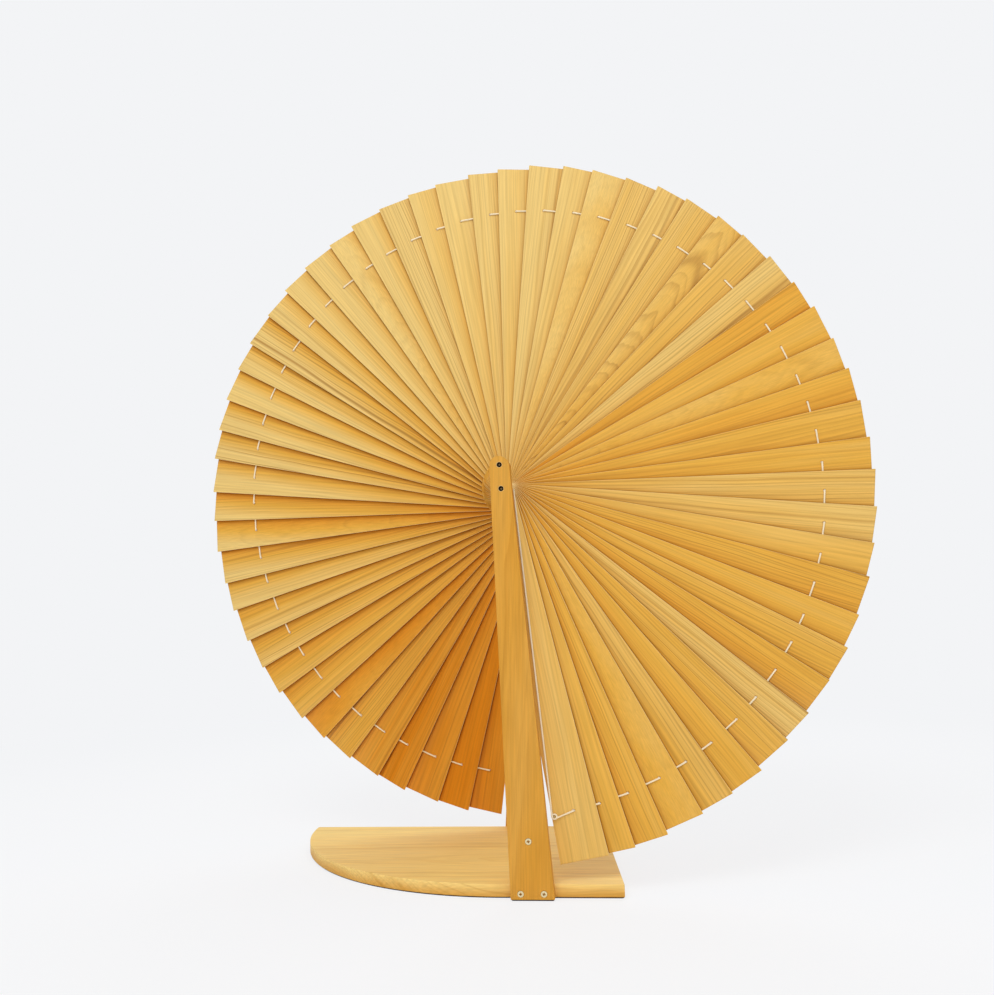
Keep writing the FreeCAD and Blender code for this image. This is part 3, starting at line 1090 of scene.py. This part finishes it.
@dataclass
class Stand:
    """The base board, the two posts with their cheeks and corner blocks, the axle and the screws."""

    axle_height: float
    pine: Finish
    post_foot: float = 76 * MM
    post_top: float = 35 * MM
    post_shoulder: float = 40 * MM
    post_splay: float = 33 * MM
    base_round_centre: float = -20 * MM
    base_end_rake: float = 6.5
    base_tip_round: float = 4 * MM
    # painted light: the base's top face paler; painted shade: its edges deeper
    base_lit_top_tone: float = 0.05
    base_shaded_edge_tone: float = 0.65
    undercut: float = 3 * MM
    # share of the undercut that takes the painted contact shadow
    contact_shade_share: float = 0.9
    cheek_width: float = 34 * MM
    block_top_depth: float = 24 * MM
    block_toe: float = 18 * MM
    screw_length: float = 42 * MM
    cheek_screw_length: float = 24 * MM
    screw_sink: float = 2.5 * MM
    seat_room: float = 0.15 * MM
    seat_rim: float = 0.7 * MM
    seat_wear: float = 0.9
    cheek_screw_rise: float = 42 * MM
    post_screw_spacing: float = 40 * MM
    block_screw_height: float = 100 * MM
    screw: Screw = Screw()
    hub_screw: Screw = Screw(head=9 * MM)
    recess_turn: float = 23.0
    right_recess_turn: float = 61.0
    base_easing: float = 1.2 * MM
    post_easing: float = 0.8 * MM
    cheek_easing: float = 0.5 * MM
    block_easing: float = 1.0 * MM
    axle_easing: float = 0.8 * MM

    def lean(self, end: End, height: float) -> float:
        """X of a post's middle at a height; the two posts lean opposite ways."""
        return -end.value * self.post_splay * (1 - height / self.axle_height)

    def screw_spots(self, end: End) -> list[ScrewSpot]:
        """List the screws of one post.

        Args:
            end: which post.

        Returns:
            Its screws, from the axle's to those at the foot.
        """
        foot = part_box("base_board")[1].z / 2
        upper = self.axle_height + self.cheek_screw_rise
        block = self.block_screw_height
        half = self.post_screw_spacing / 2
        return [
            ScrewSpot("axle_screws", 1, 0, self.axle_height, self.screw_sink),
            ScrewSpot("cheek_screws", 1, self.lean(end, upper), upper, self.screw_sink),
            ScrewSpot("block_screws", 1, self.lean(end, block), block),
            ScrewSpot("post_screws", 1, self.lean(end, foot) - half, foot),
            ScrewSpot("post_screws", 2, self.lean(end, foot) + half, foot),
        ]

    def floor_contact_shade(self, heights: np.ndarray) -> np.ndarray:
        """How far places at some heights get a painted contact shadow: the undercut edge next to the floor
        does.
        """
        return np.where(heights < self.contact_shade_share * self.undercut, 1.0, 0.0)

    def rubbed_at_seats(self, end: End, board: np.ndarray) -> np.ndarray:
        """How far a post is rubbed pale: the rims of the seats of its sunk screws.

        Args:
            end: which post.
            board: places on the post, as lengthways, across and through it.

        Returns:
            Nought where the lacquer is whole.
        """
        rubbed = np.zeros(len(board))
        for spot in self.screw_spots(end):
            if spot.sink:
                away = np.hypot(board[:, 1] - spot.x, board[:, 0] - spot.z) - self.hub_screw.head / 2
                rubbed[np.abs(away) < self.seat_rim] = self.seat_wear
        return rubbed

    def build_base(self) -> None:
        """Build the base board: a quarter disc on the left, and a raked end on the right."""
        low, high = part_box("base_board")
        depth = high.y - low.y
        centre = self.base_round_centre
        bpy.ops.mesh.primitive_cylinder_add(
            vertices=192, radius=depth, depth=high.z - low.z, location=(centre, high.y, (low.z + high.z) / 2)
        )
        base = settle(bpy.context.object, "pine_base_board")
        with editing(base):
            for normal in ((1, 0, 0), (0, 1, 0)):
                bpy.ops.mesh.select_all(action="SELECT")
                bpy.ops.mesh.bisect(
                    plane_co=(centre, high.y, 0), plane_no=normal, clear_outer=True, use_fill=True
                )
            bpy.ops.mesh.select_all(action="SELECT")
            bpy.ops.mesh.remove_doubles(threshold=0.05 * MM)
            bpy.ops.mesh.normals_make_consistent(inside=False)
            pick(base, Element.FACE, lambda middle: middle.x > centre - NEAR)
            bpy.ops.mesh.extrude_region_move(TRANSFORM_OT_translate={"value": (high.x - centre, 0, 0)})
            rake = depth * math.tan(math.radians(self.base_end_rake))
            move_picked(base, lambda spot: spot.x > high.x - MM and spot.y > high.y - MM, (-rake, 0, 0))
            bevel_picked(
                base,
                lambda middle: middle.x < low.x + MM and low.z < middle.z - MM < high.z - 2 * MM,
                self.base_tip_round,
                4,
            )
            bevel_picked(base, lambda middle: middle.z < low.z + NEAR, self.undercut)
        ease(base, self.base_easing, 3)
        sawn = Sawn(0.0, aside=-50 * MM, below=-60 * MM, run_aside=0.03, run_below=0.04, figure=0.4)
        # a painted contact shadow on the undercut, and painted light: the top face paler than the edges
        marks = {
            CONTACT_SHADE: lambda board: self.floor_contact_shade(board[:, 2]),
            TONE: lambda board: np.where(board[:, 2] > high.z - MM, self.base_lit_top_tone, self.base_shaded_edge_tone),
        }
        sawn.lay(base, Lie.FLAT, marks)
        dress(base, self.pine, FRAME_PINE.slot, STAND_BODY, "base_board")

    def build_post(self, end: End) -> None:
        """Build one tapered, leaning post with a round top and seats for its screws.

        Args:
            end: which post.
        """
        name = f"{end.word}_post"
        low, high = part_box(name)
        top = high.z
        shoulder = self.axle_height + self.post_shoulder
        top_width = self.post_foot + (self.post_top - self.post_foot) * top / shoulder
        foot = self.lean(end, 0)
        half = self.post_foot / 2
        middle_y = (low.y + high.y) / 2
        post = add_box(f"pine_{name}", (foot - half, low.y, 0), (foot + half, high.y, top))
        with editing(post):
            pick(post, Element.VERTEX, lambda spot: spot.z > top / 2)
            bpy.ops.transform.resize(value=(top_width / self.post_foot, 1, 1), center_override=(foot, 0, top))
            bpy.ops.transform.translate(value=(self.lean(end, top) - foot, 0, 0))
            bevel_picked(
                post,
                lambda middle: middle.z > top - NEAR and abs(middle.y - middle_y) < NEAR,
                top_width / 2 - NEAR,
                10,
            )
            bevel_picked(post, lambda middle: middle.z < NEAR, self.undercut)
            # each foot screw's seat is cut into a face of its own
            foot_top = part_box("base_board")[1].z
            bpy.ops.mesh.select_all(action="SELECT")
            bpy.ops.mesh.bisect(plane_co=(0, 0, foot_top), plane_no=(0, 0, 1))
            pick(post, Element.FACE, lambda middle: middle.z < foot_top)
            bpy.ops.mesh.bisect(plane_co=(self.lean(end, foot_top / 2), 0, 0), plane_no=(1, 0, 0))
        for spot in self.screw_spots(end):
            screw = self.hub_screw if spot.sink else self.screw
            seat = spot.sink + screw.head_depth + self.seat_room
            start = (spot.x, low.y - MM if end is End.FRONT else high.y - seat, spot.z)
            carve(post, add_rod("seat", screw.head / 2 + self.seat_room, start, seat + MM, 32))
        ease(post, self.post_easing)
        sawn = Sawn(
            9.0 + end.value,
            aside=-end.value * 60 * MM,
            below=-30 * MM,
            run_below=0.02,
            run_aside=0.03,
            tone=0.8,
            figure=0.25,
        )
        # a painted contact shadow on the undercut by the floor, and the seat rims rubbed pale
        marks = {
            CONTACT_SHADE: lambda board: self.floor_contact_shade(board[:, 0]),
            WEAR_AND_HIGHLIGHT: partial(self.rubbed_at_seats, end),
        }
        sawn.lay(post, Lie.UPRIGHT, marks)
        dress(post, self.pine, FRAME_PINE.slot, STAND_BODY, name)

    def build_cheek(self, end: End) -> None:
        """Build the spacer with round ends between a post and the stack of slats.

        Args:
            end: which spacer.
        """
        name = f"{end.word}_cheek"
        low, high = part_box(name)
        half = self.cheek_width / 2
        middle_y = (low.y + high.y) / 2
        cheek = add_box(f"pine_{name}", (-half, low.y, low.z), (half, high.y, high.z))
        with editing(cheek):
            move_picked(cheek, lambda spot: spot.z > self.axle_height, (low.x + high.x, 0, 0))
            bevel_picked(
                cheek,
                lambda middle: abs(middle.y - middle_y) < NEAR and abs(middle.z - self.axle_height) > 10 * MM,
                half - 2 * NEAR,
                10,
            )
        axle_low, axle_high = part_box("axle")
        bore = (axle_high.x - axle_low.x) / 2 + NEAR
        carve(cheek, add_rod("bore", bore, (0, low.y - MM, self.axle_height), high.y - low.y + 2 * MM, 40))
        ease(cheek, self.cheek_easing)
        Sawn(14.0 + end.value, aside=60 * MM, below=30 * MM, tone=1.0).lay(cheek, Lie.UPRIGHT)
        dress(cheek, self.pine, FRAME_PINE.slot, STAND_BODY, name)

    def build_block(self, end: End) -> None:
        """Build the corner block that stands on the base and backs a post.

        Args:
            end: which block.
        """
        name = f"{end.word}_block"
        low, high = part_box(name)
        block = add_box(f"pine_{name}", low, high)
        into = -end.value
        toe = Vector((0, end.outer(high, low), low.z + self.block_toe))
        crest = Vector((0, end.outer(low, high) + into * self.block_top_depth, high.z))
        slope = into * (crest - toe)
        with editing(block):
            bpy.ops.mesh.select_all(action="SELECT")
            bpy.ops.mesh.bisect(
                plane_co=toe, plane_no=(0, slope.z, -slope.y), clear_outer=True, use_fill=True
            )
        ease(block, self.block_easing)
        sawn = Sawn(17.0 + end.value, aside=45 * MM, below=20 * MM, run_aside=0.04)
        sawn.lay(block, Lie.UPRIGHT)
        dress(block, self.pine, FRAME_PINE.slot, STAND_BODY, name)

    def build_axle(self, beech: Finish) -> None:
        """Build the dowel that the slats turn on, with eased ends.

        Args:
            beech: the dowel's wood.
        """
        low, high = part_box("axle")
        radius = (high.x - low.x) / 2
        axle = add_rod("beech_axle", radius, (0, low.y, self.axle_height), high.y - low.y, 48)
        ease(axle, self.axle_easing)
        Sawn(20.0, aside=30 * MM, below=12 * MM).lay(axle, Lie.INWARDS)
        dress(axle, beech, BEECH_DOWEL.slot, STAND_BODY, "axle")

    def build_screws(self, zinc: Finish, black: Finish) -> None:
        """Build every screw from one pattern for each kind and length.

        Args:
            zinc: the bright finish, of the screws that show.
            black: the dark finish, of the screws that are sunk at the hub.
        """
        foot_pattern = self.screw.model("foot_screw_pattern", self.screw_length)
        patterns = {
            "axle_screws": self.hub_screw.model("axle_screw_pattern", self.screw_length),
            "cheek_screws": self.hub_screw.model("cheek_screw_pattern", self.cheek_screw_length),
            "post_screws": foot_pattern,
            "block_screws": foot_pattern,
        }
        for end in End:
            face = end.outer(*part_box(f"{end.word}_post"))
            around = Matrix.Rotation(0 if end is End.FRONT else math.pi, 4, "Z")
            for spot in self.screw_spots(end):
                screw = copy_of(patterns[spot.node], f"{end.word}_{spot.node[:-1]}_{spot.number}")
                turn = math.radians(self.recess_turn * spot.number + self.right_recess_turn * (spot.x > 0))
                place = Matrix.Translation((spot.x, face - end.value * spot.sink, spot.z))
                screw.matrix_world = place @ around @ Matrix.Rotation(turn, 4, "Y")
                settle(screw, screw.name)
                material, steel = (black, BLACK_STEEL) if spot.sink else (zinc, ZINC)
                dress(screw, material, steel.slot, STAND_BODY, spot.node)
        for pattern in set(patterns.values()):
            bpy.data.objects.remove(pattern)


@dataclass
class Lacing:
    """The cord that ties the slats into a fan, and the pin that it starts from.

    The cord is one length on the real screen. Here it is cut where it comes out from under a slat at a
    joint, so that each stretch moves with the slats that hold it.
    """

    fan: SlatFan
    thickness: float = 3.4 * MM
    strand_lay: float = 11 * MM
    strand_depth: float = 0.08
    profile_points: int = 15
    bend: float = 3 * MM
    peg_diameter: float = 4 * MM
    peg_along: float = 573.5 * MM
    peg_side: float = -34.66 * MM
    tail_start: tuple[float, float] = (19 * MM, -218.2 * MM)
    wrap_points: int = 8
    wrap_room: float = 0.3 * MM
    wrap_pitch: float = 1.05
    knot_points: int = 36
    knot_size: float = 1.25 * MM
    peg_easing: float = 0.7 * MM
    tail_steps: int = 220
    wrap_steps: int = 24
    stitch_steps: int = 28
    knot_steps: int = 6

    def hole(self, number: int, behind: bool) -> Vector:
        """Middle of a slat's cord hole, half a spacing before or behind the slat."""
        side = 0.5 if behind else -0.5
        return self.fan.placing(number) @ Vector((self.fan.cord_ring, side * self.fan.spacing, 0))

    def edge_crossing(self, number: int) -> Vector:
        """Find where the cord behind a slat comes out from under it, on its way to the next slat.

        Args:
            number: the slat's number.

        Returns:
            The place.
        """
        start = self.hole(number, True)
        run = (self.hole(number + 1, False) - start).normalized()
        half_step = (self.fan.angle(number + 1) - self.fan.angle(number)) / 2
        return start + run * (self.fan.half_width(number, self.fan.cord_ring) / math.cos(half_step))

    def through(self, number: int, before: Vector, after: Vector) -> list[Vector]:
        """Control points of the cord where it passes through a slat.

        Args:
            number: the slat's number.
            before: a point that the cord comes from.
            after: a point that it goes on to.

        Returns:
            Two points before the slat and two behind it.
        """
        front = self.hole(number, False)
        back = self.hole(number, True)
        to_front = (before - front).normalized() * self.bend
        to_back = (after - back).normalized() * self.bend
        return [front + to_front, front, back, back + to_back]

    def add_profile(self) -> Piece:
        """Add the cord's section: a circle drawn in where three strands meet.

        Returns:
            A closed flat curve.
        """
        data = bpy.data.curves.new("cord_section", "CURVE")
        spline = data.splines.new("POLY")
        spline.points.add(self.profile_points - 1)
        spline.use_cyclic_u = True
        for k, point in enumerate(spline.points):
            angle = 2 * math.pi * k / self.profile_points
            radius = self.thickness / 2 * (1 - self.strand_depth * (1 - math.cos(3 * angle)))
            point.co = (radius * math.cos(angle), radius * math.sin(angle), 0, 1)
        return add_object("cord_section", data)

    def add_cord(self, name: str, route: Sequence[Vector], profile: Piece, steps: int) -> Piece:
        """Twist a stretch of cord along a route and make it a mesh.

        Args:
            name: the stretch's name.
            route: the control points of its smooth line.
            profile: the cord's section.
            steps: rings between two control points.

        Returns:
            The stretch of cord.
        """
        data = bpy.data.curves.new(name, "CURVE")
        data.dimensions = "3D"
        data.resolution_u = steps
        data.bevel_mode = "OBJECT"
        data.bevel_object = profile
        data.use_fill_caps = True
        spline = data.splines.new("NURBS")
        spline.points.add(len(route) - 1)
        run = 0.0
        for k, (point, spot) in enumerate(zip(spline.points, route)):
            run += (spot - route[k - 1]).length if k else 0.0
            point.co = (*spot, 1)
            point.tilt = 2 * math.pi * run / self.strand_lay
        spline.order_u = 3
        spline.use_endpoint_u = True
        select_only(add_object(name, data))
        bpy.ops.object.convert(target="MESH")
        cord = bpy.context.object
        with editing(cord):
            bpy.ops.mesh.select_all(action="SELECT")
            bpy.ops.mesh.remove_doubles(threshold=0.01 * MM)
            bpy.ops.mesh.normals_make_consistent(inside=False)
        bpy.ops.object.shade_smooth_by_angle(angle=math.radians(60))
        return cord

    def wraps(self) -> list[Vector]:
        """Control points of the cord's turns round the pin, from its left side to under it.

        Returns:
            The points, outside the pin by half the cord.
        """
        middle = self.fan.placing(1) @ Vector((self.peg_along, 0, self.peg_side))
        middle.y = self.hole(1, False).y
        step = 2 * math.pi / self.wrap_points
        radius = (self.peg_diameter + self.thickness + self.wrap_room) / 2 / math.cos(step / 2)
        last = self.wrap_points + self.wrap_points // 4
        spots = []
        for k in range(last + 1):
            angle = math.pi + k * step
            outwards = (k / last - 1) * self.thickness * self.wrap_pitch
            spots.append(middle + Vector((radius * math.cos(angle), outwards, radius * math.sin(angle))))
        return spots

    def knot(self) -> list[Vector]:
        """Control points of the overhand knot that stops the cord behind the last slat.

        Returns:
            The points of a knot that lies flat on the slat's back.
        """
        middle = self.hole(self.fan.count, True)
        spots = []
        for k in range(self.knot_points):
            turn = 2 * math.pi * k / self.knot_points
            side = math.sin(turn) + 2 * math.sin(2 * turn)
            rise = math.cos(turn) - 2 * math.cos(2 * turn)
            spots.append(middle + Vector((side, 0.5 - math.sin(3 * turn), rise)) * self.knot_size)
        return spots

    def build_peg(self, brass: Finish) -> None:
        """Build the pin in the front slat, with a rounded end.

        Args:
            brass: the pin's finish.
        """
        low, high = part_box("cord_peg")
        middle = (low + high) / 2
        start = (middle.x, low.y, middle.z)
        peg = add_rod("brass_cord_peg", self.peg_diameter / 2, start, high.y - low.y, 24)
        ease(peg, self.peg_easing, 3)
        dress(peg, brass, BRASS.slot, STAND_BODY, "cord_peg")

    def build(self, cotton: Finish, brass: Finish) -> None:
        """Build the pin, the cord's tail and wraps, and the stretch that each pair of slats holds.

        Args:
            cotton: the cord's material.
            brass: the pin's finish.
        """
        self.build_peg(brass)
        profile = self.add_profile()
        wraps = self.wraps()
        start = Vector((*self.tail_start, self.fan.axle_height))
        hung = wraps[0] + Vector((0, 0, self.bend))
        tail = [start, start.lerp(hung, 0.5), hung, wraps[0]]
        stretches = {"cord_tail": (STAND_BODY, tail, self.tail_steps)}
        crossing = self.edge_crossing(1)
        first = self.through(1, wraps[-1], crossing)
        stretches["cord_wraps"] = (STAND_BODY, [hung, *wraps, *first, crossing], self.wrap_steps)
        for number in range(2, self.fan.count, 2):
            before = self.edge_crossing(number - 1)
            if number + 1 == self.fan.count:
                after = self.hole(number + 1, True) + Vector((0, MM, 0))
            else:
                after = self.edge_crossing(number + 1)
            route = [before, *self.through(number, before, self.hole(number + 1, False))]
            route += [*self.through(number + 1, self.hole(number, True), after), after]
            stretches[f"cord_{number:02d}"] = (self.fan.body(number), route, self.stitch_steps)
        stretches["cord_end_knot"] = (self.fan.body(self.fan.count), self.knot(), self.knot_steps)
        for name, (body, route, steps) in stretches.items():
            cord = self.add_cord(name, route, profile, steps)
            dress(cord, cotton, COTTON.slot, body, "lacing_cord")
        bpy.data.objects.remove(profile)


@dataclass(frozen=True)
class Lamp:
    """A square soft light: its place, the length of its side and its power in watts."""

    name: str
    place: tuple[float, float, float]
    side: float
    power: float

    def build(self, target: Sequence[float]) -> None:
        """Add the light.

        Args:
            target: the point that it faces.
        """
        data = bpy.data.lights.new(self.name, "AREA")
        data.size = self.side
        data.energy = self.power
        lamp = add_object(self.name, data)
        lamp.location = self.place
        lamp.rotation_euler = (Vector(target) - Vector(self.place)).to_track_quat("-Z", "Y").to_euler()


@dataclass
class Studio:
    """A plain pale floor that fades into a pale backdrop, soft light and the camera."""

    backdrop: str = "#F3F4F6"
    floor: str = "#F8F8F9"
    floor_glow: str = "#F9FAFC"
    floor_radius: float = 7.0
    fade: Range = (1.1, 2.6)
    floor_share: float = 0.22
    room_light: float = 0.55
    lamps: tuple[Lamp, ...] = (
        Lamp("key", (-0.5, -2.9, 3.5), 2.0, 68.0),
        Lamp("fill", (1.3, -3.0, 0.9), 1.6, 9.0),
        Lamp("rear", (0.3, 3.0, 3.0), 2.5, 32.0),
    )
    lit_point: tuple[float, float, float] = (0.0, 0.0, 0.7)
    camera_place: tuple[float, float, float] = (0.239, -2.2348, 0.5541)
    camera_heading: float = 7.06
    camera_rise: float = 3.9
    camera_roll: float = -1.75
    focal_pixels: float = 1150.3
    sensor: float = 36.0

    def seen_rays(self, nodes: Nodes) -> Socket:
        """Add the test of rays that show the backdrop: from the camera, off gloss or through glass.

        Args:
            nodes: the material's or the world's nodes.

        Returns:
            One for such rays.
        """
        path = nodes.add("LightPath").outputs
        seen = path["Is Camera Ray"]
        for name in ("Is Glossy Ray", "Is Transmission Ray"):
            seen = nodes.maths("MAXIMUM", seen, path[name])
        return seen

    def build_world(self) -> None:
        """Light the room evenly and show the pale backdrop."""
        world = bpy.data.worlds.new("pale room")
        bpy.context.scene.world = world
        world.use_nodes = True
        nodes = Nodes(world.node_tree)
        light = nodes.add("Background", {"Color": linear("#FFFFFF"), "Strength": self.room_light})
        shown = nodes.add("Background", {"Color": linear(self.backdrop), "Strength": 1.0})
        inputs = {0: self.seen_rays(nodes), 1: light.outputs[0], 2: shown.outputs[0]}
        nodes.add("OutputWorld", {"Surface": nodes.add("MixShader", inputs).outputs[0]})

    def build_floor(self) -> None:
        """Lay a round floor that shows a faint shadow and whose far part takes the backdrop's colour."""
        bpy.ops.mesh.primitive_circle_add(vertices=96, radius=self.floor_radius, fill_type="NGON")
        floor = settle(bpy.context.object, "studio_floor")
        material, nodes = new_material("matt pale floor")
        far = nodes.spread(nodes.length(nodes.own_place()), self.fade, interpolation_type="SMOOTHSTEP")
        glowing = nodes.spread(far, (0.0, 1.0), (1 - self.floor_share, 1.0))
        blend = nodes.maths("MULTIPLY", glowing, self.seen_rays(nodes))
        matt = nodes.add("BsdfPrincipled", {"Base Color": linear(self.floor), "Roughness": 0.8})
        shade = nodes.mix(far, linear(self.floor_glow), linear(self.backdrop))
        glow = nodes.add("Emission", {"Color": shade, "Strength": 1.0})
        inputs = {0: blend, 1: matt.outputs[0], 2: glow.outputs[0]}
        nodes.add("OutputMaterial", {"Surface": nodes.add("MixShader", inputs).outputs[0]})
        floor.data.materials.append(material)

    def build_camera(self) -> None:
        """Place the camera where the photograph was taken from."""
        data = bpy.data.cameras.new("camera")
        data.sensor_width = self.sensor
        data.lens = self.focal_pixels * self.sensor / max(IMAGE_SIZE)
        camera = add_object("camera", data)
        turn = Matrix.Rotation(math.radians(self.camera_heading), 4, "Z")
        rise = Matrix.Rotation(math.radians(90 + self.camera_rise), 4, "X")
        roll = Matrix.Rotation(math.radians(self.camera_roll), 4, "Z")
        camera.matrix_world = Matrix.Translation(self.camera_place) @ turn @ rise @ roll
        bpy.context.scene.camera = camera

    def build(self) -> None:
        """Build the floor, the lights and the camera."""
        bpy.context.scene.view_settings.view_transform = "Standard"
        self.build_world()
        self.build_floor()
        for lamp in self.lamps:
            lamp.build(self.lit_point)
        self.build_camera()


def main() -> None:
    """Load the frame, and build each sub-assembly and the studio."""
    logging.basicConfig(level=logging.INFO, format="%(name)s: %(message)s")
    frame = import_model()
    fold = next(joint for joint in frame["joints"] if joint["name"] == "fan_fold")
    axle_height = fold["pos_m"][2]

    fan = SlatFan(axle_height)
    fan.build(SLAT_PINE.build())
    stand = Stand(axle_height, FRAME_PINE.build())
    stand.build_base()
    for end in End:
        stand.build_post(end)
        stand.build_cheek(end)
        stand.build_block(end)
    stand.build_axle(BEECH_DOWEL.build())
    stand.build_screws(ZINC.build(), BLACK_STEEL.build())
    Lacing(fan).build(COTTON.build(), BRASS.build())
    Studio().build()


if __name__ == "__main__":
    main()
